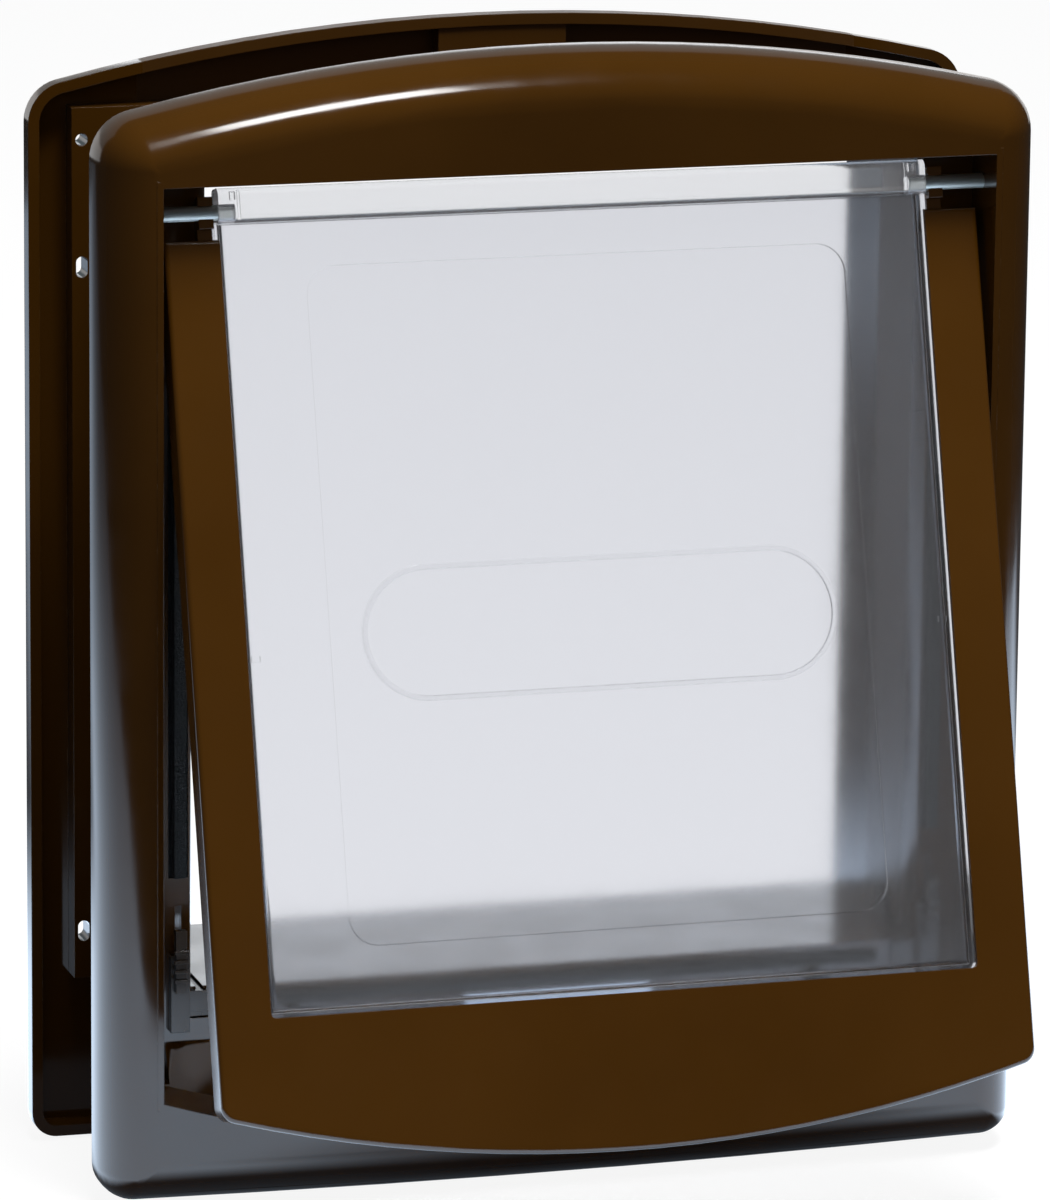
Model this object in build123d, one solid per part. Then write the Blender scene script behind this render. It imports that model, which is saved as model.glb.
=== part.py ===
from build123d import *
import math
import os

os.makedirs("parts", exist_ok=True)

# All sizes in millimetres, heights measured up from the foot of the frames
# Tunnel, two tubes one inside the other, which every other width follows
TUNNEL_HALF_W = 114.4
TUNNEL_FLOOR = 65.8
TUNNEL_HEIGHT = 251.3
TUNNEL_WALL = 1.8
TUNNEL_FLARE = 2.3
TUNNEL_FLARE_END = 6.0
TUNNEL_END = 38.0
COLLAR_WALL = 3.6
COLLAR_END = 12.0
TUBE_GAP = 0.3
BACK_TUNNEL_START = 26.0

# Recess of the front frame, in which the outer flap hangs
FLANGE_W = 15.8
OPEN_HALF_W = TUNNEL_HALF_W + FLANGE_W
OPEN_TOP = TUNNEL_FLOOR + TUNNEL_HEIGHT
OPEN_SIDE_FOOT = 36.4
OPEN_SAG = 20.9
RECESS_WALL = 2.0
FLANGE_T = 2.4
SILL_Y = -9.2
SILL_LIFT = 2.6
SILL_TOP = 49.6
GUARD_DEEP = 27.0

# Front frame
BORDER_W = 16.8
HEAD_H = 16.9
FRONT_HALF_W = OPEN_HALF_W + BORDER_W
FRONT_SIDE_H = OPEN_TOP + HEAD_H
FRONT_RISE = 18.3
FRONT_BOW = 2.0
FRONT_DEPTH = 24.3
FRONT_R_FOOT = 11.0
FRONT_R_TOP = 15.0
SHELL_WALL = 2.4
NOSE_IN = 16.2
NOSE_FLAT = 3.0
NOSE_STEPS = 10
SHELL_STEPS = 4

# Back frame
DOOR_T = 65.5
BACK_T = 10.5
BACK_MORE_W = 3.4
BACK_LESS_H = 1.4
BACK_HALF_W = FRONT_HALF_W + BACK_MORE_W
BACK_SIDE_H = FRONT_SIDE_H - BACK_LESS_H
BACK_RISE = 18.6
BACK_BOW = 1.0
BACK_R_FOOT = 8.0
BACK_R_TOP = 13.0
BACK_Y_FRONT = DOOR_T
BACK_Y_REAR = DOOR_T + BACK_T
BACK_ROUND = 5.0
BACK_STEPS = 6
BACK_WALL = 2.6
BACK_RIM = 3.5
LAND_HALF_W = OPEN_HALF_W + 6.6
LAND_FOOT = 52.0
LAND_HEAD = OPEN_TOP + 9.9
TAB_HALF_W = 20.5
TAB_SET_BACK = 0.8

# Fixing pattern, whose centre on the door face is the origin
PATTERN_OUT = 3.5
PATTERN_X = 2 * (OPEN_HALF_W + PATTERN_OUT)
PATTERN_FOOT = 67.05
PATTERN_Z = 210.5
PATTERN_MID_Z = PATTERN_FOOT + PATTERN_Z / 2
PILOT_R = 1.5
BOSS_R = 4.0
BOSS_L = 16.0
BOSS_DEEP = 12.0
RIB_T = 1.8
SLOT_W = 3.6
SLOT_H = 6.6
SEAT_MORE = 5.0
SEAT_DEEP = 1.8
PEG_HOLE_R = 1.9
PEG_HOLE_Z = OPEN_TOP - 0.1

# Hinge pins, pressed into the front frame
PIN_R = 2.3
PIN_LAP = 4.9
PIN_PRESS = 11.8
PIN_OUT = OPEN_HALF_W + PIN_PRESS
PIN_SEAT_R = 5.0
PIN_Y = -11.4
PIN_Z = OPEN_TOP - 10.1
PIN_FIT = 0.01
PIN_PLAY = 0.05
REST_DEG = 15.8

# Outer flap, measured from the pins while it hangs shut
SUR_SIDE_GAP = 2.6
SUR_HALF_W = OPEN_HALF_W - SUR_SIDE_GAP
SUR_TOP = 8.0
SUR_SIDE = PIN_Z - OPEN_SIDE_FOOT - 2.1
SUR_FOOT = SUR_SIDE + 18.0
SUR_FACE = 0.84
SUR_PLATE = 2.6
SUR_WALL = 2.2
SUR_DEEP = 8.6
SUR_FOOT_DEEP = 2.2
SUR_R = 5.0
SUR_EDGE_R = 1.6
SUR_RIB_T = 1.6
SUR_RIB_H = 2.6
BAR_RIBS = (0.22, 0.41, 0.6)
FOOT_RIBS = (-0.72, -0.36, 0.36, 0.72)
SUR_BAR_W = 16.9
WIN_HALF_W = SUR_HALF_W - SUR_BAR_W
WIN_FOOT = PIN_Z - TUNNEL_FLOOR - 1.8
WIN_R = 1.5
WIN_JAMB = 3.2
LIP_T = 1.7
LIP_W = 1.4
EAR_T = 4.5
EAR_R = 4.9
EAR_MOUTH = 1.3

# Inner clear flap
PAN_LAP = 1.0
PAN_HALF_W = WIN_HALF_W + PAN_LAP
PAN_HEAD = 3.0
PAN_FOOT = WIN_FOOT + 0.8
PAN_FACE = 1.2
PAN_SHEET = 2.2
PAN_RIM_T = 2.0
PAN_RIM_R = 1.7
PAN_REAR = 8.0
PAN_R = 3.0
BARREL_HALF_L = PAN_HALF_W - 0.8
BARREL_UP = 7.2
BARREL_DOWN = 3.4
BARREL_FRONT = 3.2
BARREL_REAR = 5.0
BARREL_SNAP = 3.9
LUG_L = 6.2
FIELD_SIDE = 27.2
FIELD_HALF_W = PAN_HALF_W - FIELD_SIDE
FIELD_TOP = 17.0
FIELD_FOOT = PAN_FOOT - 20.2
FIELD_R = 9.0
FIELD_DEEP = 0.4
BADGE_W = 148.6
BADGE_H = 40.5
BADGE_LINE = 1.3
BADGE_RISE = 0.2
BADGE_MID = 128.0
PIP_X = PAN_HALF_W - 3.9
PIP_L = 133.0
PIP_W = 2.6
PIP_H = 1.8

# Locks
LOCK_TRAVEL = 10.0
LOCK_X0 = TUNNEL_HALF_W + 3.1
LOCK_X1 = LOCK_X0 + 5.9
LOCK_MID_X = (LOCK_X0 + LOCK_X1) / 2
LOCK_FOOT = 53.0
LOCK_PLATE_TOP = 77.4
LOCK_PLATE_Y = (-5.6, -2.7)
FINGER_W = 3.4
FINGER_Y = (-8.0, -5.4)
FINGER_Z = (66.0, 85.6)
GRIP_RIBS = (70.0, 73.0, 76.0, 79.0)
NECK_T = 1.8
NECK_GAP = 0.1
NECK_Z = (62.0, 77.2)
TONGUE_IN = TUNNEL_HALF_W - 5.4
TONGUE_Z = (57.0, 65.0)
TONGUE_Y = (-2.3, -0.2)
BLADE_X = (TUNNEL_HALF_W - 2.0, TUNNEL_HALF_W - 0.3)
BLADE_END = 24.0
BLADE_Z = (62.3, 65.0)
THUMB_Y = 15.5
THUMB_TOP = 76.0
HOOK_X = (LOCK_X0 + 1.3, LOCK_X1 - 0.2)
HOOK_TOP = FINGER_Z[1] + LOCK_TRAVEL + 3.4
HOOK_SHELF = 2.5
HOOK_FOOT = HOOK_TOP - 11.0
HOOK_LIP = 2.0
HOOK_REAR = 8.2
POCKET_IN = LOCK_X1 + 1.3
POCKET_OUT = OPEN_HALF_W - 0.8

# Brush seals
PILE_X = LOCK_MID_X
PILE_W = 3.7
PILE_H = 3.2
PILE_BACKING = 0.6
PILE_GROOVE_W = 6.1
PILE_GROOVE = 1.0
PILE_FOOT = HOOK_TOP + 2.0
PILE_HEAD = OPEN_TOP - 25.1
FOOT_PILE_Z = TUNNEL_FLOOR - 4.6
FOOT_PILE_W = 4.4
FOOT_PILE_HALF_L = TONGUE_IN - 5.0

# Closing magnet, its keeper and the buffers
KEEPER_Z = 54.0
KEEPER_L = 60.0
KEEPER_T = 1.4
KEEPER_H = 7.0
MAGNET_L = 50.0
MAGNET_T = 3.6
MAGNET_H = 6.6
BUFFER_X = TUNNEL_HALF_W - 30.4
BUFFER_R = 3.5
BUFFER_H = 3.4

# How far cutting bodies reach past a face, and past a whole piece
EPS = 1.0
FAR = 30.0


def front_plane(y):
    # A sketch plane facing the street at depth y, with its own y running up
    return Plane((0, y, 0), x_dir=(1, 0, 0), z_dir=(0, -1, 0))


def slab(sketch, y0, y1):
    # Straight body of one outline between two depths
    return extrude(front_plane(y1) * sketch, amount=y1 - y0)


def brick(x0, x1, y0, y1, z0, z1):
    # Square block between six planes
    centre = ((x0 + x1) / 2, (y0 + y1) / 2, (z0 + z1) / 2)
    return Pos(*centre) * Box(abs(x1 - x0), abs(y1 - y0), abs(z1 - z0))


def both(maker):
    # The same feature at the left and at the right
    one = maker()
    return one + mirror(one, Plane.YZ)


def on_side(body, side):
    return body if side > 0 else mirror(body, Plane.YZ)


def pin_bar(x0, x1, radius):
    # Round bar along the hinge line
    return Pos((x0 + x1) / 2, 0, 0) * Rot(0, 90, 0) * Cylinder(radius, x1 - x0)


def at_pins(body):
    return Pos(0, PIN_Y, PIN_Z) * body


def swung(body):
    # From hanging shut at the pins to the place where it was photographed
    return at_pins(Rot(-REST_DEG, 0, 0) * body)


def fixings():
    # Places of the four fixing screws
    low = PATTERN_MID_Z - PATTERN_Z / 2
    high = PATTERN_MID_Z + PATTERN_Z / 2
    return [(x, z) for x in (-PATTERN_X / 2, PATTERN_X / 2) for z in (low, high)]


def arch(half_w, side_h, rise, bow, r_foot, r_top, inset=0.0):
    # Frame outline with an arched head and a slightly bowed foot, moved inward by the inset
    w = half_w - inset
    head_r = (half_w ** 2 + rise ** 2) / (2 * rise)
    head_mid = side_h + rise - head_r
    shoulder = head_mid + math.sqrt((head_r - inset) ** 2 - w ** 2)
    foot_r = (half_w ** 2 + bow ** 2) / (2 * bow)
    heel = foot_r - math.sqrt((foot_r - inset) ** 2 - w ** 2)
    foot = ThreePointArc((-w, heel), (0, inset), (w, heel))
    right = Line((w, heel), (w, shoulder))
    head = ThreePointArc((w, shoulder), (0, side_h + rise - inset), (-w, shoulder))
    left = Line((-w, shoulder), (-w, heel))
    face = make_face(foot + right + head + left)
    low = [v for v in face.vertices() if v.Y < heel + 1]
    face = fillet(low, max(r_foot - inset, 1.2))
    high = [v for v in face.vertices() if abs(v.Y - shoulder) < 0.5 and abs(v.X) > w - 0.5]
    return fillet(high, max(r_top - inset, 1.2))


def front_arch(inset):
    return arch(FRONT_HALF_W, FRONT_SIDE_H, FRONT_RISE, FRONT_BOW, FRONT_R_FOOT, FRONT_R_TOP, inset)


def back_arch(inset):
    return arch(BACK_HALF_W, BACK_SIDE_H, BACK_RISE, BACK_BOW, BACK_R_FOOT, BACK_R_TOP, inset)


def rounded(outline, y0, y1, y2, width, steps, inset=0.0):
    # Block of one outline, straight from y0 to y1 and rounded inward from there to y2
    faces = [front_plane(y0) * outline(inset)]
    for i in range(steps + 1):
        turn = math.radians(90 * i / steps)
        y = y1 + (y2 - y1) * math.sin(turn)
        faces.append(front_plane(y) * outline(inset + width * (1 - math.cos(turn))))
    return loft(faces, ruled=True)


def opening(half_w, top, side_foot, sag):
    # Opening outline with a bowed foot
    foot = ThreePointArc((-half_w, side_foot), (0, side_foot - sag), (half_w, side_foot))
    right = Line((half_w, side_foot), (half_w, top))
    head = Line((half_w, top), (-half_w, top))
    left = Line((-half_w, top), (-half_w, side_foot))
    return make_face(foot + right + head + left)


def tube(half_w, floor, roof, wall, y0, y1):
    # Square tunnel tube, its inner faces at the sizes given
    outer = brick(-half_w - wall, half_w + wall, y0, y1, floor - wall, roof + wall)
    return outer - brick(-half_w, half_w, y0 - EPS, y1 + EPS, floor, roof)


def front_frame():
    outer = rounded(front_arch, 0, -NOSE_FLAT, -FRONT_DEPTH, NOSE_IN, NOSE_STEPS)
    shell = outer - rounded(front_arch, 0, -NOSE_FLAT, SHELL_WALL - FRONT_DEPTH, NOSE_IN - 1.0,
                            SHELL_STEPS, SHELL_WALL)
    shell += slab(opening(OPEN_HALF_W + RECESS_WALL, OPEN_TOP + RECESS_WALL,
                          OPEN_SIDE_FOOT - RECESS_WALL, OPEN_SAG), -FRONT_DEPTH, 0)
    for x, z in fixings():
        shell += Pos(x, -BOSS_L / 2, z) * Rot(90, 0, 0) * Cylinder(BOSS_R, BOSS_L)
        wall = math.copysign(FRONT_HALF_W - 1.6, x)
        shell += brick(x, wall, -BOSS_L, -0.6, z - RIB_T / 2, z + RIB_T / 2) & outer
    seat = at_pins(pin_bar(OPEN_HALF_W, PIN_OUT + 1.8, PIN_SEAT_R)) & outer
    shell += seat + mirror(seat, Plane.YZ)
    shell -= recess()
    shell += tube(TUNNEL_HALF_W, TUNNEL_FLOOR, OPEN_TOP, TUNNEL_WALL, -FLANGE_T, TUNNEL_END)
    shell += tube(TUNNEL_HALF_W, TUNNEL_FLOOR, OPEN_TOP, COLLAR_WALL, -0.5, COLLAR_END)
    shell -= mouth()
    shell += both(guard)
    for x, z in fixings():
        shell -= Pos(x, -BOSS_DEEP / 2, z) * Rot(90, 0, 0) * Cylinder(PILOT_R, BOSS_DEEP)
    shell -= both(pin_bore)
    shell -= both(lock_cuts)
    shell -= both(pile_groove)
    shell -= foot_cuts()
    return shell


def recess():
    # Hollow that takes the outer flap, with its rising floor and sloped sill
    front = opening(OPEN_HALF_W, OPEN_TOP, OPEN_SIDE_FOOT, OPEN_SAG)
    floor = opening(OPEN_HALF_W, OPEN_TOP, OPEN_SIDE_FOOT + SILL_LIFT, OPEN_SAG)
    sill = opening(OPEN_HALF_W, OPEN_TOP, SILL_TOP + 0.2, 1.0)
    lead = slab(front, -FRONT_DEPTH - EPS, -FRONT_DEPTH)
    run = loft([front_plane(-FRONT_DEPTH) * front, front_plane(SILL_Y) * floor])
    ramp = loft([front_plane(SILL_Y) * floor, front_plane(-FLANGE_T) * sill])
    pocket = both(lambda: brick(POCKET_IN, POCKET_OUT, -FRONT_DEPTH + 4, -FLANGE_T,
                                OPEN_SIDE_FOOT + 1.6, SILL_TOP + 20))
    return lead + run + ramp + pocket


def mouth():
    # Tunnel passage with the flared sides of its mouth
    height = OPEN_TOP - TUNNEL_FLOOR
    middle = Pos(0, TUNNEL_FLOOR + height / 2)
    wide = middle * Rectangle(2 * (TUNNEL_HALF_W + TUNNEL_FLARE), height)
    slim = middle * Rectangle(2 * TUNNEL_HALF_W, height)
    flare = loft([front_plane(-FLANGE_T) * wide, front_plane(TUNNEL_FLARE_END) * slim])
    return flare + slab(slim, -FLANGE_T - EPS, TUNNEL_END + EPS)


def guard():
    # Web in the top corner of the mouth, behind the pin and the ear
    x0 = PAN_HALF_W + 0.6
    x1 = TUNNEL_HALF_W + COLLAR_WALL
    return brick(x0, x1, -FLANGE_T, EPS, OPEN_TOP - GUARD_DEEP, OPEN_TOP + 0.5)


def pin_bore():
    return at_pins(pin_bar(OPEN_HALF_W - EPS, PIN_OUT + PIN_FIT, PIN_R + PIN_FIT))


def lock_cuts():
    # Neck slot, tongue pocket and blade notch of one lock
    half = NECK_T / 2 + NECK_GAP
    neck = brick(LOCK_MID_X - half, LOCK_MID_X + half, -FLANGE_T - EPS, 0.5,
                 NECK_Z[0] - 0.2, NECK_Z[1] + LOCK_TRAVEL + 5)
    tongue = brick(TONGUE_IN - 0.6, LOCK_X0 + 0.8, -FLANGE_T - EPS, 0,
                   TONGUE_Z[0] - 0.6, TONGUE_Z[1] + LOCK_TRAVEL + 1.5)
    blade = brick(BLADE_X[0] - 0.3, TUNNEL_HALF_W, -EPS, BLADE_END + 0.6,
                  BLADE_Z[0] - 1.3, TUNNEL_FLOOR + 1.2)
    return neck + tongue + blade


def pile_groove():
    half = PILE_GROOVE_W / 2
    return brick(PILE_X - half, PILE_X + half, -FLANGE_T - EPS, -FLANGE_T + PILE_GROOVE,
                 PILE_FOOT, PILE_HEAD)


def foot_cuts():
    # Seats of the keeper and of the brush in the bottom stop flange
    y = -FLANGE_T
    keeper = brick(-KEEPER_L / 2, KEEPER_L / 2, y - EPS, y + KEEPER_T,
                   KEEPER_Z - KEEPER_H / 2, KEEPER_Z + KEEPER_H / 2)
    half = FOOT_PILE_W / 2
    brush = brick(-FOOT_PILE_HALF_L, FOOT_PILE_HALF_L, y - EPS, y + PILE_GROOVE,
                  FOOT_PILE_Z - half, FOOT_PILE_Z + half)
    return keeper + brush


def back_frame():
    body = rounded(back_arch, BACK_Y_FRONT, BACK_Y_REAR - BACK_ROUND, BACK_Y_REAR, BACK_ROUND, BACK_STEPS)
    floor = BACK_Y_REAR - BACK_WALL
    land = brick(-LAND_HALF_W, LAND_HALF_W, BACK_Y_FRONT - EPS, floor, LAND_FOOT, LAND_HEAD)
    channel = slab(back_arch(BACK_RIM), BACK_Y_FRONT - EPS, floor)
    body -= channel - land
    tab = brick(-TAB_HALF_W, TAB_HALF_W, BACK_Y_FRONT + TAB_SET_BACK, floor + 0.5,
                LAND_HEAD - EPS, BACK_SIDE_H + BACK_RISE)
    body += tab & slab(back_arch(BACK_RIM - 0.5), BACK_Y_FRONT, BACK_Y_REAR)
    half_w = TUNNEL_HALF_W + TUNNEL_WALL + TUBE_GAP
    low = TUNNEL_FLOOR - TUNNEL_WALL - TUBE_GAP
    roof = OPEN_TOP + TUNNEL_WALL + TUBE_GAP
    body += tube(half_w, low, roof, TUNNEL_WALL, BACK_TUNNEL_START, BACK_Y_REAR)
    body -= brick(-half_w, half_w, BACK_TUNNEL_START - EPS, BACK_Y_REAR + EPS, low, roof)
    for x, z in fixings():
        slot = Pos(x, z) * Rot(0, 0, 90) * SlotOverall(SLOT_H, SLOT_W)
        body -= slab(slot, BACK_Y_FRONT - EPS, BACK_Y_REAR + EPS)
        seat = Pos(x, z) * Rot(0, 0, 90) * SlotOverall(SLOT_H + SEAT_MORE, SLOT_W + SEAT_MORE)
        body -= slab(seat, BACK_Y_REAR - SEAT_DEEP, BACK_Y_REAR + EPS)
    for x in (-PATTERN_X / 2, PATTERN_X / 2):
        hole = Pos(x, BACK_Y_FRONT + BACK_T / 2, PEG_HOLE_Z) * Rot(90, 0, 0)
        body -= hole * Cylinder(PEG_HOLE_R, 2 * BACK_T)
    return body


def hinge_pin(side):
    pin = pin_bar(BARREL_HALF_L - PIN_LAP, PIN_OUT, PIN_R)
    return on_side(at_pins(chamfer(pin.edges(), 0.4)), side)


def surround_outline(inset):
    # Outer flap outline with its arched foot
    w = SUR_HALF_W - inset
    rise = SUR_FOOT - SUR_SIDE
    radius = (SUR_HALF_W ** 2 + rise ** 2) / (2 * rise)
    mid = -SUR_FOOT + radius
    r = radius - inset
    side = mid - math.sqrt(r ** 2 - w ** 2)
    top = -SUR_TOP - inset
    foot = ThreePointArc((-w, side), (0, mid - r), (w, side))
    right = Line((w, side), (w, top))
    head = Line((w, top), (-w, top))
    left = Line((-w, top), (-w, side))
    face = make_face(foot + right + head + left)
    low = [v for v in face.vertices() if v.Y < side + 1]
    return fillet(low, max(SUR_R - inset, 1.0))


def window(grow, y0, y1):
    # Opening of the outer flap, open at its top
    foot = -WIN_FOOT - grow
    face = Pos(0, foot / 2 + 10) * Rectangle(2 * (WIN_HALF_W + grow), 20 - foot)
    low = [v for v in face.vertices() if v.Y < foot + 1]
    return slab(fillet(low, WIN_R + grow), y0, y1)


def flap_surround():
    face = -SUR_FACE
    back = face + SUR_PLATE
    plate = slab(surround_outline(0), face, back)
    body = fillet([e for e in plate.edges() if e.center().Y < face + 0.01], SUR_EDGE_R)
    skirt = slab(surround_outline(0), back - 0.3, SUR_DEEP)
    skirt -= slab(surround_outline(SUR_WALL), back, SUR_DEEP + EPS)
    inner = SUR_HALF_W - SUR_WALL - 0.2
    skirt -= brick(-inner, inner, SUR_FOOT_DEEP, FAR, -SUR_FOOT - FAR, -SUR_SIDE + 12)
    skirt -= brick(-inner, inner, back, FAR, -SUR_TOP - 12, 0)
    body += skirt
    body += window(WIN_JAMB, back - 0.3, SUR_DEEP) & slab(surround_outline(0), -FAR, FAR)
    body += both(bar_ribs)
    body += foot_ribs()
    body += magnet_seat()
    body -= window(LIP_W, face + LIP_T, FAR)
    body -= window(0, -FAR, FAR)
    body += both(ear)
    body += both(hook)
    return swung(body)


def bar_ribs():
    # Stiffening ribs across the hollow back of a side bar
    back = -SUR_FACE + SUR_PLATE
    ribs = [brick(WIN_HALF_W + 1.8, SUR_HALF_W - 1.1, back - 0.3, back + SUR_RIB_H,
                  -part * SUR_SIDE - SUR_RIB_T / 2, -part * SUR_SIDE + SUR_RIB_T / 2)
            for part in BAR_RIBS]
    return ribs[0] + ribs[1] + ribs[2]


def foot_ribs():
    # Stiffening ribs up the hollow back of the foot
    back = -SUR_FACE + SUR_PLATE
    ribs = [brick(part * SUR_HALF_W - SUR_RIB_T / 2, part * SUR_HALF_W + SUR_RIB_T / 2,
                  back - 0.3, back + SUR_RIB_H, -WIN_FOOT - 24.6, -WIN_FOOT - 1.6)
            for part in FOOT_RIBS]
    return ribs[0] + ribs[1] + ribs[2] + ribs[3]


def magnet_seat():
    # Raised frame that holds the magnet behind the foot
    back = -SUR_FACE + SUR_PLATE
    mid = KEEPER_Z - PIN_Z
    x = MAGNET_L / 2 + 1.4
    z = MAGNET_H / 2 + 1.4
    seat = brick(-x, x, back - 0.3, back + MAGNET_T - 0.6, mid - z, mid + z)
    x = MAGNET_L / 2 + 0.05
    z = MAGNET_H / 2 + 0.05
    return seat - brick(-x, x, back, back + 9, mid - z, mid + z)


def ear():
    # Open hook that reaches up behind the pin
    x0 = PAN_HALF_W + 0.6
    x1 = x0 + EAR_T
    body = pin_bar(x0, x1, EAR_R)
    body += brick(x0, x1, SUR_FACE + 0.56, EAR_R, -SUR_TOP * 2, 0)
    body += brick(x0, x1, SUR_FACE + 0.56, SUR_DEEP, -SUR_TOP - 14, -SUR_TOP - 1)
    body -= pin_bar(x0 - EPS, x1 + EPS, PIN_R + PIN_PLAY)
    return body - brick(x0 - EPS, x1 + EPS, -9, -EAR_MOUTH, -9, 9)


def hook():
    # Catch behind the outer flap that the lock finger slides into
    back = -SUR_FACE + SUR_PLATE
    top = HOOK_TOP - PIN_Z
    foot = HOOK_FOOT - PIN_Z
    shelf = brick(*HOOK_X, back - 0.3, HOOK_REAR, top - HOOK_SHELF, top)
    return shelf + brick(*HOOK_X, HOOK_REAR - HOOK_LIP, HOOK_REAR, foot, top)


def flap_panel():
    face = PAN_FACE
    height = PAN_FOOT - PAN_HEAD
    outline = Pos(0, -PAN_HEAD - height / 2) * Rectangle(2 * PAN_HALF_W, height)
    outline = fillet([v for v in outline.vertices() if v.Y < -PAN_FOOT + 1], PAN_R)
    inner_h = height - PAN_RIM_T + 2
    inner = Pos(0, 2 - PAN_HEAD - inner_h / 2) * Rectangle(2 * (PAN_HALF_W - PAN_RIM_T), inner_h)
    hollow = slab(inner, face + PAN_SHEET, PAN_REAR + EPS)
    hollow = fillet([e for e in hollow.edges() if e.center().Y < face + PAN_SHEET + 0.01], PAN_RIM_R)
    body = slab(outline, face, PAN_REAR) - hollow
    field_h = FIELD_FOOT - FIELD_TOP
    field = Pos(0, -FIELD_TOP - field_h / 2) * RectangleRounded(2 * FIELD_HALF_W, field_h, FIELD_R)
    body -= slab(field, face - EPS, face + FIELD_DEEP)
    body += barrel()
    badge = Pos(0, -BADGE_MID) * SlotOverall(BADGE_W, BADGE_H)
    bare = Pos(0, -BADGE_MID) * SlotOverall(BADGE_W - 2 * BADGE_LINE, BADGE_H - 2 * BADGE_LINE)
    ring = slab(badge, face + FIELD_DEEP - BADGE_RISE, face + FIELD_DEEP + 0.2)
    body += ring - slab(bare, face - 2, face + FIELD_DEEP)
    body += both(pip)
    return swung(body)


def pip():
    # Small raised mark near the rim
    return brick(PIP_X - PIP_W / 2, PIP_X + PIP_W / 2, PAN_FACE - 0.6, PAN_FACE + 0.5,
                 -PIP_L - PIP_H / 2, -PIP_L + PIP_H / 2)


def barrel():
    # Rounded bar along the top edge, with a snap-in lug at each end
    bar = brick(-BARREL_HALF_L, BARREL_HALF_L, -BARREL_FRONT, BARREL_REAR, -BARREL_DOWN, BARREL_UP)
    long_edges = [e for e in bar.edges() if abs(e.center().X) < 1]
    bar = fillet([e for e in long_edges if e.center().Y < 0], 2.6)
    top = [e for e in bar.edges() if abs(e.center().X) < 1 and e.center().Z > 6 and e.center().Y > 4]
    bar = fillet(top, 2.0)
    return bar - both(lug_cuts)


def lug_cuts():
    # Pin bore, snap-in slot to the rear and shading groove of one lug
    x0 = BARREL_HALF_L - PIN_LAP - 0.3
    x1 = BARREL_HALF_L + EPS
    lug = BARREL_HALF_L - LUG_L
    bore = pin_bar(x0, x1, PIN_R + PIN_PLAY)
    slot = brick(x0, x1, 0, BARREL_REAR + EPS, -BARREL_SNAP / 2, BARREL_SNAP / 2)
    groove = brick(lug - 0.4, lug + 0.4, -BARREL_FRONT - EPS, -BARREL_FRONT + 0.7, -9, 9)
    dimple = brick(lug + 1.0, lug + 2.6, -BARREL_FRONT - EPS, -BARREL_FRONT + 1.6, 3.4, 5.8)
    return bore + slot + groove + dimple


def lock_slide(side):
    # Plate, finger and ribs in front, tongue and thumb blade behind
    half = FINGER_W / 2
    middle = LOCK_MID_X + 0.25
    body = brick(LOCK_X0, LOCK_X1, *LOCK_PLATE_Y, LOCK_FOOT, LOCK_PLATE_TOP)
    body += brick(middle - half, middle + half, *FINGER_Y, *FINGER_Z)
    for z in GRIP_RIBS:
        body += brick(middle - half - 0.6, middle + half + 0.6, FINGER_Y[0] - 0.7, FINGER_Y[0] + 0.2,
                      z - 0.5, z + 0.5)
    body += brick(LOCK_MID_X - NECK_T / 2, LOCK_MID_X + NECK_T / 2, -3, TONGUE_Y[1], *NECK_Z)
    body += brick(LOCK_X0, LOCK_X0 + 0.7, -4, TONGUE_Y[1], *TONGUE_Z)
    body += brick(TONGUE_IN, LOCK_X0 + 0.5, *TONGUE_Y, *TONGUE_Z)
    body += brick(*BLADE_X, -0.5, BLADE_END, *BLADE_Z)
    body += brick(*BLADE_X, THUMB_Y, BLADE_END, BLADE_Z[0], THUMB_TOP)
    return on_side(body, side)


def pile_side(side):
    half = PILE_W / 2
    back = PILE_GROOVE_W / 2 - 0.05
    y = -FLANGE_T + PILE_GROOVE
    body = brick(PILE_X - back, PILE_X + back, y - PILE_BACKING, y, PILE_FOOT + 0.1, PILE_HEAD - 0.1)
    body += brick(PILE_X - half, PILE_X + half, -FLANGE_T - PILE_H, y - 0.3,
                  PILE_FOOT + 0.6, PILE_HEAD - 0.6)
    return on_side(body, side)


def pile_bottom():
    y = -FLANGE_T + PILE_GROOVE
    z = FOOT_PILE_Z
    half = FOOT_PILE_W / 2 - 0.1
    long = FOOT_PILE_HALF_L
    body = brick(-long + 0.1, long - 0.1, y - PILE_BACKING, y, z - half, z + half)
    body += brick(-long + 0.6, long - 0.6, -FLANGE_T - PILE_H, y - 0.3, z - half + 0.7, z + half - 0.7)
    return body


def surround_magnet():
    back = -SUR_FACE + SUR_PLATE
    mid = KEEPER_Z - PIN_Z
    bar = brick(-MAGNET_L / 2, MAGNET_L / 2, back, back + MAGNET_T, mid - MAGNET_H / 2, mid + MAGNET_H / 2)
    return swung(bar)


def magnet_keeper():
    y = -FLANGE_T
    half_l = KEEPER_L / 2 - 0.1
    half_h = KEEPER_H / 2 - 0.1
    return brick(-half_l, half_l, y - 0.1, y + KEEPER_T, KEEPER_Z - half_h, KEEPER_Z + half_h)


def closing_buffers():
    pads = []
    for x in (-BUFFER_X, BUFFER_X):
        pad = Pos(x, -FLANGE_T - BUFFER_H / 2, KEEPER_Z + 0.6) * Rot(90, 0, 0)
        pads.append(pad * Cylinder(BUFFER_R, BUFFER_H))
    return Compound(children=pads)


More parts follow.
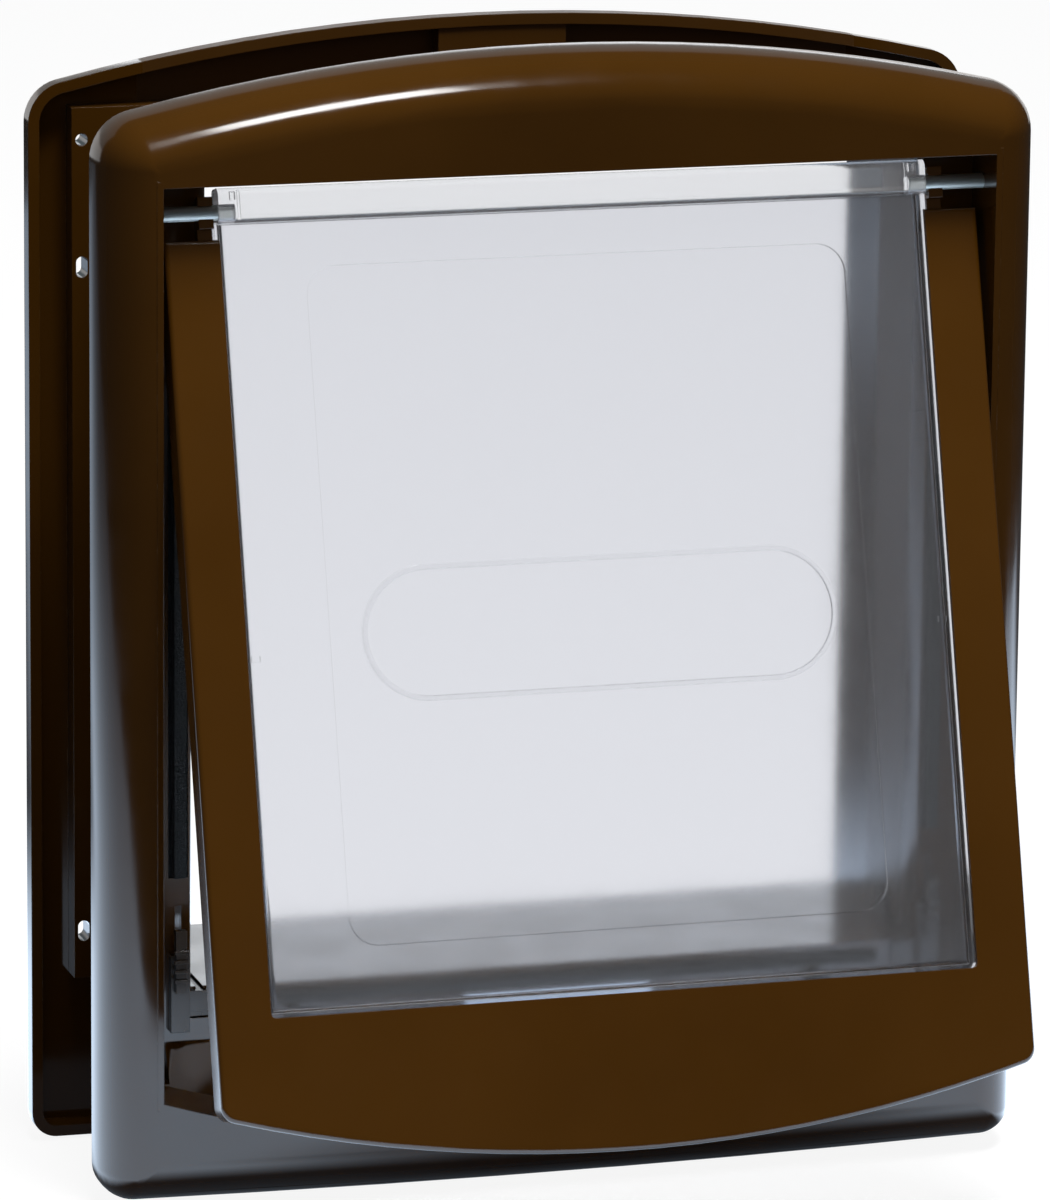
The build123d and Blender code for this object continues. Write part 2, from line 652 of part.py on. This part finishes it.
NODES = {
    "front_frame": front_frame(),
    "back_frame": back_frame(),
    "hinge_pin_left": hinge_pin(-1),
    "hinge_pin_right": hinge_pin(1),
    "flap_surround": flap_surround(),
    "flap_panel": flap_panel(),
    "lock_slide_left": lock_slide(-1),
    "lock_slide_right": lock_slide(1),
    "pile_seal_left": pile_side(-1),
    "pile_seal_right": pile_side(1),
    "pile_seal_bottom": pile_bottom(),
    "surround_magnet": surround_magnet(),
    "magnet_keeper": magnet_keeper(),
    "closing_buffers": closing_buffers(),
}

# Each piece goes out in the frame of the fixing pattern
for name, body in NODES.items():
    export_step(Pos(0, 0, -PATTERN_MID_Z) * body, "parts/" + name + ".step")
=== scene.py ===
import math
import bpy
from mathutils import Matrix, Vector


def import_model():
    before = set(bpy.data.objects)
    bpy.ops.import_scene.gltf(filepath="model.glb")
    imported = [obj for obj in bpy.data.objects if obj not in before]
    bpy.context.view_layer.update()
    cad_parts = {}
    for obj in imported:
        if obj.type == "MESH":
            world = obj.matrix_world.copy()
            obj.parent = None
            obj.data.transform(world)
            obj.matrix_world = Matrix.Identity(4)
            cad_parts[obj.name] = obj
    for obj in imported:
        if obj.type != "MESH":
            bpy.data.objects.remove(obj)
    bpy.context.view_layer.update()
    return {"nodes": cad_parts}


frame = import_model()
nodes = frame["nodes"]

# Depth of the frames' foot below the origin
FOOT = 0.1723

# Hinge line of both flaps, and the angle by which they stand out
HINGE_Y = -0.0114
HINGE_Z = 0.1347
REST = math.radians(15.8)

# Clear flap, down from the hinge line: foot of the bar, and the middle of the badge's outline
BAR_FOOT = 0.003
BADGE_DOWN = 0.128
BADGE_HALF_RUN = 0.05405
BADGE_R = 0.0196
BADGE_LINE = 0.0008

# Tunnel between the frames
TUNNEL_HALF_W = 0.1146
TUNNEL_FLOOR_Z = -0.1065

# Outline of both frames on the floor
FRAMES_HALF_W = 0.147
FRAMES_MID_Y = 0.026
FRAMES_HALF_Y = 0.050

EDGE_R = 0.0004
EDGE_SAMPLES = 2
FLAT_BELOW = math.radians(0.4)
SMOOTH_BELOW = math.radians(25)
WELD = 2e-6

# The white floor as the eye sees it: its own grey and its glow
FLOOR_GREY = 0.16
FLOOR_GLOW = 0.90
FLOOR_HALF = 6.0
FLOOR_GAP = 0.0004

# Walls of the studio, which only gloss meets
ROOM_HALF = 3.0
ROOM_FRONT = -4.0
ROOM_TOP = 3.0
ROOM_BELOW = 0.05
FAR_WALL_FOOT = 0.76

# Camera fitted to the photograph
CAMERA_PLACE = (-0.6780, -2.2289, 0.7201 - FOOT)
CAMERA_AIM = (-0.01071, 0.0, 0.18082 - FOOT)
CAMERA_ROLL = math.radians(0.58)
FOCAL_PX = 7821.12
PHOTO_H_PX = 1200
SENSOR = 36


def blank(name):
    # Material with an output node alone
    m = bpy.data.materials.new(name)
    m.use_nodes = True
    nt = m.node_tree
    nt.nodes.clear()
    return m, nt, nt.nodes.new("ShaderNodeOutputMaterial")


def material(name):
    m, nt, out = blank(name)
    bsdf = nt.nodes.new("ShaderNodeBsdfPrincipled")
    nt.links.new(bsdf.outputs[0], out.inputs["Surface"])
    return m, nt, bsdf


def coords(nt, scale=(1, 1, 1)):
    tc = nt.nodes.new("ShaderNodeTexCoord")
    mp = nt.nodes.new("ShaderNodeMapping")
    mp.inputs["Scale"].default_value = scale
    nt.links.new(tc.outputs["Object"], mp.inputs["Vector"])
    return mp.outputs["Vector"]


def apart(nt, vec):
    n = nt.nodes.new("ShaderNodeSeparateXYZ")
    nt.links.new(vec, n.inputs[0])
    return n.outputs


def noise(nt, vec, scale, detail=3.0, rough=0.5):
    n = nt.nodes.new("ShaderNodeTexNoise")
    n.inputs["Scale"].default_value = scale
    n.inputs["Detail"].default_value = detail
    n.inputs["Roughness"].default_value = rough
    nt.links.new(vec, n.inputs["Vector"])
    return n.outputs["Fac"]


def ramp(nt, fac, stops):
    r = nt.nodes.new("ShaderNodeValToRGB")
    for element, (place, colour) in zip(r.color_ramp.elements, stops):
        element.position = place
        element.color = (*colour, 1)
    nt.links.new(fac, r.inputs["Fac"])
    return r.outputs["Color"]


def blend(nt, fac, a, b):
    m = nt.nodes.new("ShaderNodeMix")
    m.data_type = "RGBA"
    nt.links.new(fac, m.inputs[0])
    for i, v in ((6, a), (7, b)):
        if isinstance(v, tuple):
            m.inputs[i].default_value = (*v, 1)
        else:
            nt.links.new(v, m.inputs[i])
    return m.outputs[2]


def fit(nt, value, a, b, lo=0.0, hi=1.0, kind="SMOOTHSTEP"):
    # Value between a and b brought to the range lo to hi
    m = nt.nodes.new("ShaderNodeMapRange")
    m.interpolation_type = kind
    m.inputs["From Min"].default_value = a
    m.inputs["From Max"].default_value = b
    m.inputs["To Min"].default_value = lo
    m.inputs["To Max"].default_value = hi
    nt.links.new(value, m.inputs["Value"])
    return m.outputs["Result"]


def below(nt, value, edge, soft):
    # 1 under the edge and 0 over it
    return fit(nt, value, edge + soft, edge - soft)


def above(nt, value, edge, soft):
    # 0 under the edge and 1 over it
    return fit(nt, value, edge - soft, edge + soft)


def math_node(nt, op, *values):
    n = nt.nodes.new("ShaderNodeMath")
    n.operation = op
    for socket, v in zip(n.inputs, values):
        if isinstance(v, (int, float)):
            socket.default_value = v
        else:
            nt.links.new(v, socket)
    return n.outputs[0]


def plus(nt, a, b):
    return math_node(nt, "ADD", a, b)


def minus(nt, a, b):
    return math_node(nt, "SUBTRACT", a, b)


def times(nt, a, b):
    return math_node(nt, "MULTIPLY", a, b)


def squares(nt, a, b):
    return plus(nt, times(nt, a, a), times(nt, b, b))


def off_by(nt, value, centre):
    return math_node(nt, "ABSOLUTE", minus(nt, value, centre))


def past(nt, value, centre, half):
    # How far a value lies outside centre - half to centre + half
    return math_node(nt, "MAXIMUM", minus(nt, off_by(nt, value, centre), half), 0.0)


def bump(nt, bsdf, height, strength, distance, normal=None):
    b = nt.nodes.new("ShaderNodeBump")
    b.inputs["Strength"].default_value = strength
    b.inputs["Distance"].default_value = distance
    nt.links.new(height, b.inputs["Height"])
    if normal:
        nt.links.new(normal, b.inputs["Normal"])
    nt.links.new(b.outputs["Normal"], bsdf.inputs["Normal"])


def rounded_normal(nt):
    bevel = nt.nodes.new("ShaderNodeBevel")
    bevel.samples = EDGE_SAMPLES
    bevel.inputs["Radius"].default_value = EDGE_R
    return bevel.outputs[0]


def edge_mask(nt, normal):
    # 1 along sharp edges, where the rounded normal leaves the face's own
    geo = nt.nodes.new("ShaderNodeNewGeometry")
    dot = nt.nodes.new("ShaderNodeVectorMath")
    dot.operation = "DOT_PRODUCT"
    nt.links.new(normal, dot.inputs[0])
    nt.links.new(geo.outputs["Normal"], dot.inputs[1])
    return fit(nt, dot.outputs["Value"], 0.995, 0.88)


def tunnel_mask(nt, vec):
    # 1 on the walls of the tunnel, clear of its floor
    x, y, z = apart(nt, vec)
    side = below(nt, math_node(nt, "ABSOLUTE", x), TUNNEL_HALF_W, 0.0004)
    behind = above(nt, y, 0.001, 0.001)
    over = above(nt, z, TUNNEL_FLOOR_Z + 0.002, 0.0005)
    return times(nt, side, times(nt, behind, over))


def moulded(name, dark, light, edge_highlight_and_wear, rough, tunnel=False):
    # Injection-moulded gloss plastic: flow clouding, edges painted lighter as a highlight and as light
    # rubbing wear, hairlines, faint ripple
    m, nt, bsdf = material(name)
    v = coords(nt)
    base = ramp(nt, noise(nt, v, 9, 4, 0.55), [(0.3, dark), (0.7, light)])
    normal = rounded_normal(nt)
    # Painted edge highlight: sharp edges get a lighter colour, broken up by noise like light rubbing wear,
    # and a little more roughness
    edge_highlight_and_rub = times(nt, edge_mask(nt, normal), fit(nt, noise(nt, v, 130, 4, 0.65), 0.38, 0.66))
    nt.links.new(blend(nt, edge_highlight_and_rub, base, edge_highlight_and_wear), bsdf.inputs["Base Color"])
    cloudy = fit(nt, noise(nt, v, 60, 4, 0.5), 0.3, 0.7, rough * 0.85, rough * 1.2)
    hairlines = fit(nt, noise(nt, coords(nt, (40, 700, 700)), 1, 3, 0.7), 0.62, 0.8, 0, 0.05)
    roughness = plus(nt, plus(nt, cloudy, hairlines), times(nt, edge_highlight_and_rub, 0.2))
    height = noise(nt, v, 22, 2, 0.4)
    if tunnel:
        # Spark-eroded texture on the walls of the tunnel
        inside = tunnel_mask(nt, v)
        roughness = plus(nt, roughness, times(nt, inside, 0.24))
        height = plus(nt, height, times(nt, inside, noise(nt, v, 900, 2, 0.6)))
    nt.links.new(roughness, bsdf.inputs["Roughness"])
    bsdf.inputs["IOR"].default_value = 1.5
    bump(nt, bsdf, height, 0.05, 0.0006, normal)
    return m


def brown_frame():
    # The third colour is the painted edge highlight, which also stands for light rubbing wear
    dark, light, edge_highlight_and_wear = (0.043, 0.0165, 0.0014), (0.057, 0.0225, 0.0026), (0.095, 0.048, 0.020)
    return moulded("brown_frame", dark, light, edge_highlight_and_wear, 0.12, tunnel=True)


def brown_flap():
    # The third colour is the painted edge highlight, which also stands for light rubbing wear
    dark, light, edge_highlight_and_wear = (0.060, 0.0225, 0.0018), (0.076, 0.0295, 0.0032), (0.110, 0.056, 0.022)
    return moulded("brown_flap", dark, light, edge_highlight_and_wear, 0.12)


def dark_plastic():
    # The third colour is the painted edge highlight, which also stands for light rubbing wear
    dark, light, edge_highlight_and_wear = (0.020, 0.0095, 0.0022), (0.032, 0.015, 0.004), (0.06, 0.04, 0.022)
    return moulded("dark_plastic", dark, light, edge_highlight_and_wear, 0.25)


def clear_plastic():
    # Clear moulding, frosted inside and out, milky along the bar at the hinge, where its colour is also
    # painted paler so the bar reads bright in the shade under the head
    m, nt, bsdf = material("frosted_clear")
    v = coords(nt)
    x, y, z = apart(nt, v)
    bsdf.inputs["IOR"].default_value = 1.49
    lower = times(nt, minus(nt, HINGE_Z, z), math.cos(REST))
    further = times(nt, minus(nt, HINGE_Y, y), math.sin(REST))
    down = plus(nt, lower, further)
    bar = below(nt, down, BAR_FOOT, 0.0004)
    # The bar's paler colour is partly its milkier moulding and partly painted light that brightens it in the
    # shade under the head
    nt.links.new(blend(nt, bar, (0.70, 0.71, 0.755), (0.94, 0.95, 0.98)), bsdf.inputs["Base Color"])
    # Raised line round the bare badge, a little milkier and smoother than the frost
    away = math_node(nt, "SQRT", squares(nt, past(nt, x, 0.0, BADGE_HALF_RUN), minus(nt, down, BADGE_DOWN)))
    line = below(nt, off_by(nt, away, BADGE_R), BADGE_LINE, 0.0003)
    milk = plus(nt, times(nt, bar, 0.12), times(nt, line, 0.10))
    nt.links.new(minus(nt, 0.985, milk), bsdf.inputs["Transmission Weight"])
    frost = fit(nt, noise(nt, v, 14, 4, 0.6), 0.3, 0.7, 0.10, 0.14)
    nt.links.new(minus(nt, frost, times(nt, line, 0.06)), bsdf.inputs["Roughness"])
    bump(nt, bsdf, noise(nt, v, 150, 3, 0.5), 0.02, 0.0004, rounded_normal(nt))
    return m


def steel(name, colour, rough):
    # Drawn along X
    m, nt, bsdf = material(name)
    bsdf.inputs["Metallic"].default_value = 1
    lines = noise(nt, coords(nt, (2, 260, 260)), 5, 4, 0.6)
    dark = tuple(c * 0.75 for c in colour)
    nt.links.new(ramp(nt, lines, [(0.3, dark), (0.7, colour)]), bsdf.inputs["Base Color"])
    nt.links.new(fit(nt, lines, 0, 1, rough * 0.8, rough * 1.3, "LINEAR"), bsdf.inputs["Roughness"])
    bump(nt, bsdf, lines, 0.1, 0.0001)
    return m


def pile():
    m, nt, bsdf = material("brush_pile")
    hair = noise(nt, coords(nt, (1, 0.15, 1)), 1400, 2, 0.7)
    root, tip = (0.0012, 0.0018, 0.002), (0.010, 0.014, 0.015)
    nt.links.new(ramp(nt, hair, [(0.35, root), (0.7, tip)]), bsdf.inputs["Base Color"])
    bsdf.inputs["Roughness"].default_value = 0.85
    bsdf.inputs["Sheen Weight"].default_value = 0.03
    bump(nt, bsdf, hair, 0.8, 0.0006)
    return m


def matt(name, dark, light, rough, scale):
    m, nt, bsdf = material(name)
    grain = noise(nt, coords(nt), scale, 4, 0.6)
    nt.links.new(ramp(nt, grain, [(0.3, dark), (0.7, light)]), bsdf.inputs["Base Color"])
    nt.links.new(fit(nt, grain, 0, 1, rough - 0.08, rough + 0.08, "LINEAR"), bsdf.inputs["Roughness"])
    bump(nt, bsdf, grain, 0.25, 0.0003)
    return m


def smooth_group():
    # Node group that shades faces smooth and keeps edges sharper than SMOOTH_BELOW hard
    g = bpy.data.node_groups.new("smooth_below", "GeometryNodeTree")
    g.interface.new_socket("Geometry", in_out="INPUT", socket_type="NodeSocketGeometry")
    g.interface.new_socket("Geometry", in_out="OUTPUT", socket_type="NodeSocketGeometry")
    start = g.nodes.new("NodeGroupInput")
    end = g.nodes.new("NodeGroupOutput")
    faces = g.nodes.new("GeometryNodeSetShadeSmooth")
    faces.domain = "FACE"
    edge = g.nodes.new("GeometryNodeSetShadeSmooth")
    edge.domain = "EDGE"
    angle = g.nodes.new("GeometryNodeInputMeshEdgeAngle")
    less = g.nodes.new("FunctionNodeCompare")
    less.operation = "LESS_THAN"
    less.inputs[1].default_value = SMOOTH_BELOW
    g.links.new(angle.outputs[0], less.inputs[0])
    g.links.new(start.outputs[0], faces.inputs[0])
    g.links.new(faces.outputs[0], edge.inputs[0])
    g.links.new(less.outputs[0], edge.inputs[2])
    g.links.new(edge.outputs[0], end.inputs[0])
    return g


def smooth(o, group):
    # Faces joined at their seams, flat ones kept flat, gentle bends shaded smooth
    custom = o.data.attributes.get("custom_normal")
    if custom:
        o.data.attributes.remove(custom)
    weld = o.modifiers.new("weld", "WELD")
    weld.merge_threshold = WELD
    flat = o.modifiers.new("flat", "DECIMATE")
    flat.decimate_type = "DISSOLVE"
    flat.angle_limit = FLAT_BELOW
    o.modifiers.new("smooth", "NODES").node_group = group
    even = o.modifiers.new("even", "WEIGHTED_NORMAL")
    even.keep_sharp = True


def dress():
    frame_brown = brown_frame()
    flap_brown = brown_flap()
    dark = dark_plastic()
    pin = steel("pin_steel", (0.80, 0.85, 0.82), 0.52)
    brush = pile()
    finishes = {
        "front_frame": (frame_brown, "brown_plastic"),
        "back_frame": (frame_brown, "brown_plastic"),
        "flap_surround": (flap_brown, "brown_plastic"),
        "flap_panel": (clear_plastic(), "clear_plastic"),
        "hinge_pin_left": (pin, "pin_steel"),
        "hinge_pin_right": (pin, "pin_steel"),
        "lock_slide_left": (dark, "dark_plastic"),
        "lock_slide_right": (dark, "dark_plastic"),
        "pile_seal_left": (brush, "pile"),
        "pile_seal_right": (brush, "pile"),
        "pile_seal_bottom": (brush, "pile"),
        "surround_magnet": (matt("ferrite", (0.008, 0.008, 0.009), (0.02, 0.02, 0.022), 0.6, 300), "magnet"),
        "magnet_keeper": (steel("keeper_steel", (0.55, 0.56, 0.57), 0.35), "keeper_steel"),
        "closing_buffers": (matt("buffer_rubber", (0.006,) * 3, (0.014,) * 3, 0.7, 400), "buffer_rubber"),
    }
    group = smooth_group()
    for name, (mat, slot) in finishes.items():
        o = nodes[name]
        o.data.materials.clear()
        o.data.materials.append(mat)
        smooth(o, group)


def seen_white(nt, plain, white, out):
    # The white that the eye, a mirror and a clear pane see; everything else meets the plain side
    lp = nt.nodes.new("ShaderNodeLightPath")
    mix = nt.nodes.new("ShaderNodeMixShader")
    seen = math_node(nt, "MAXIMUM", lp.outputs["Is Camera Ray"], lp.outputs["Is Transmission Ray"])
    nt.links.new(math_node(nt, "MAXIMUM", seen, lp.outputs["Is Glossy Ray"]), mix.inputs["Fac"])
    nt.links.new(plain.outputs[0], mix.inputs[1])
    nt.links.new(white.outputs[0], mix.inputs[2])
    nt.links.new(mix.outputs[0], out.inputs["Surface"])


def quad(name, corners, mat):
    me = bpy.data.meshes.new(name)
    me.from_pydata([tuple(c) for c in corners], [], [tuple(range(len(corners)))])
    me.materials.append(mat)
    o = bpy.data.objects.new(name, me)
    bpy.context.scene.collection.objects.link(o)
    return o


def mirrored_only(o):
    # A studio card that shows in gloss and lights nothing
    o.visible_camera = False
    o.visible_diffuse = False
    o.visible_transmission = False
    o.visible_shadow = False
    o.visible_volume_scatter = False


def lights_nothing(m):
    # A glow that is only seen isn't sampled as a lamp
    m.cycles.emission_sampling = "NONE"


def floor_white():
    m, nt, out = blank("floor_white")
    diffuse = nt.nodes.new("ShaderNodeBsdfDiffuse")
    diffuse.inputs["Color"].default_value = (FLOOR_GREY, FLOOR_GREY, FLOOR_GREY, 1)
    glow = nt.nodes.new("ShaderNodeEmission")
    glow.inputs["Strength"].default_value = FLOOR_GLOW
    both = nt.nodes.new("ShaderNodeAddShader")
    nt.links.new(diffuse.outputs[0], both.inputs[0])
    nt.links.new(glow.outputs[0], both.inputs[1])
    seen_white(nt, diffuse, both, out)
    lights_nothing(m)
    return m


def card_glow(name, colour, strength=1.0):
    m, nt, out = blank(name)
    glow = nt.nodes.new("ShaderNodeEmission")
    glow.inputs["Color"].default_value = (*colour, 1)
    glow.inputs["Strength"].default_value = strength
    nt.links.new(glow.outputs[0], out.inputs["Surface"])
    lights_nothing(m)
    return m, nt, glow.inputs["Strength"]


def painted_floor_light():
    # Glow card with a painted pool of light: brightest close to the object, weaker to the left and behind
    m, nt, strength = card_glow("painted_floor_light", (0.68, 0.82, 1.0))
    x, y, z = apart(nt, coords(nt))
    side = fit(nt, x, -1.0, -0.10, 0.55, 3.4)
    depth = fit(nt, y, 0.15, 0.9, 1.0, 0.34)
    behind = times(nt, fit(nt, y, 0.22, 0.5), fit(nt, x, -0.36, -0.24, 0, 0.95))
    # Painted shadow of the flap that leans out, on the floor below it
    far_x = math_node(nt, "DIVIDE", minus(nt, x, 0.02), 0.12)
    far_y = math_node(nt, "DIVIDE", minus(nt, y, -0.055), 0.05)
    painted_flap_shadow = fit(nt, squares(nt, far_x, far_y), 0.2, 1.3, 0.32, 1.0)
    # Painted shade of the frames along their feet
    from_x = past(nt, x, 0.0, FRAMES_HALF_W)
    from_y = past(nt, y, FRAMES_MID_Y, FRAMES_HALF_Y)
    foot = fit(nt, math_node(nt, "SQRT", squares(nt, from_x, from_y)), 0.001, 0.018, 0.04, 1.0)
    level = times(nt, side, times(nt, depth, minus(nt, 1.0, behind)))
    nt.links.new(times(nt, level, times(nt, painted_flap_shadow, foot)), strength)
    return m


def studio_floor():
    # Pale floor; gloss sees only a glowing card round the object in its place, with painted light and
    # painted shadow
    z, h = -FOOT - FLOOR_GAP, FLOOR_HALF
    wide = quad("floor", [(-h, -h, z), (h, -h, z), (h, h, z), (-h, h, z)], floor_white())
    wide.visible_glossy = False
    edge = [(0.7, -0.25), (-0.46, -0.235), (-0.63, -0.17), (-0.80, 0.01), (-0.92, 0.27), (-1.05, 0.70),
            (-1.05, 1.7), (0.9, 1.7), (0.9, -0.1)]
    mirrored_only(quad("floor_near", [(x, y, z) for x, y in reversed(edge)], painted_floor_light()))


def dark_room():
    # Unlit walls of the studio; the far one is paler and stops short of the floor
    dim = card_glow("unlit_wall", (0.9, 1.0, 1.05), 0.03)[0]
    far = card_glow("far_wall", (0.75, 0.92, 1.0), 0.34)[0]
    x, y0, y1 = ROOM_HALF, ROOM_FRONT, ROOM_HALF
    z0, zf, z1 = -FOOT - ROOM_BELOW, FAR_WALL_FOOT, ROOM_TOP
    for name, mat, corners in (
        ("wall_front", dim, [(-x, y0, z0), (x, y0, z0), (x, y0, z1), (-x, y0, z1)]),
        ("wall_back", far, [(-x, y1, zf), (x, y1, zf), (x, y1, z1), (-x, y1, z1)]),
        ("wall_left", dim, [(-x, y0, z0), (-x, y1, z0), (-x, y1, z1), (-x, y0, z1)]),
        ("wall_right", dim, [(x, y0, z0), (x, y1, z0), (x, y1, z1), (x, y0, z1)]),
        ("wall_top", dim, [(-x, y0, z1), (x, y0, z1), (x, y1, z1), (-x, y1, z1)]),
        ("wall_low", dim, [(-x, y0, z0), (x, y0, z0), (x, y1, z0), (-x, y1, z0)]),
    ):
        mirrored_only(quad(name, corners, mat))


def tunnel_card():
    # Soft card low behind the object, mirrored by the floor of the tunnel and the sill
    m, nt, strength = card_glow("tunnel_card", (0.90, 0.95, 1.0))
    x, y, z = apart(nt, coords(nt))
    nt.links.new(fit(nt, z, 0.70, 0.80, 3.4, 1.6), strength)
    x0, x1, y0, z0, z1 = 0.35, 1.45, 2.9, 0.67, 0.95
    mirrored_only(quad("tunnel_card", [(x0, y0, z0), (x1, y0, z0), (x1, y0, z1), (x0, y0, z1)], m))


def world():
    w = bpy.data.worlds.new("studio")
    bpy.context.scene.world = w
    w.use_nodes = True
    nt = w.node_tree
    nt.nodes.clear()
    out = nt.nodes.new("ShaderNodeOutputWorld")
    seen = nt.nodes.new("ShaderNodeBackground")
    seen.inputs["Color"].default_value = (1, 1, 1, 1)
    seen.inputs["Strength"].default_value = 1.0
    fill = nt.nodes.new("ShaderNodeBackground")
    fill.inputs["Color"].default_value = (0.95, 0.97, 1.0, 1)
    fill.inputs["Strength"].default_value = 0.25
    seen_white(nt, fill, seen, out)


def lamp(name, place, aim, size, watts):
    d = bpy.data.lights.new(name, "AREA")
    d.shape = "RECTANGLE"
    d.size, d.size_y = size
    d.energy = watts
    o = bpy.data.objects.new(name, d)
    bpy.context.scene.collection.objects.link(o)
    o.location = place
    o.rotation_mode = "QUATERNION"
    o.rotation_quaternion = (Vector(aim) - Vector(place)).to_track_quat("-Z", "Y")
    return o


def lamps():
    # The first makes the streak along the head; the others light without showing in gloss
    lamp("key_streak", (0.11, -0.66, 1.6), (0, 0, 0.12), (0.34, 0.34), 10)
    lamp("top_soft", (0.15, -0.45, 1.9), (0, 0, 0.05), (1.0, 0.7), 38).visible_glossy = False
    lamp("front_fill", (0.5, -2.4, 0.9), (0, 0, 0), (1.2, 1.2), 3).visible_glossy = False


def camera():
    d = bpy.data.cameras.new("camera")
    o = bpy.data.objects.new("camera", d)
    bpy.context.scene.collection.objects.link(o)
    place = Vector(CAMERA_PLACE)
    ahead = (Vector(CAMERA_AIM) - place).normalized()
    level = ahead.cross(Vector((0, 0, 1))).normalized()
    upright = level.cross(ahead)
    right = level * math.cos(CAMERA_ROLL) + upright * math.sin(CAMERA_ROLL)
    up = upright * math.cos(CAMERA_ROLL) - level * math.sin(CAMERA_ROLL)
    m = Matrix((right, up, -ahead)).transposed().to_4x4()
    m.translation = place
    o.matrix_world = m
    d.sensor_width = SENSOR
    d.lens = FOCAL_PX / PHOTO_H_PX * SENSOR
    d.clip_start, d.clip_end = 0.05, 50
    d.dof.use_dof = False
    bpy.context.scene.camera = o


dress()
studio_floor()
dark_room()
tunnel_card()
world()
lamps()
camera()
bpy.context.scene.view_settings.view_transform = "Standard"
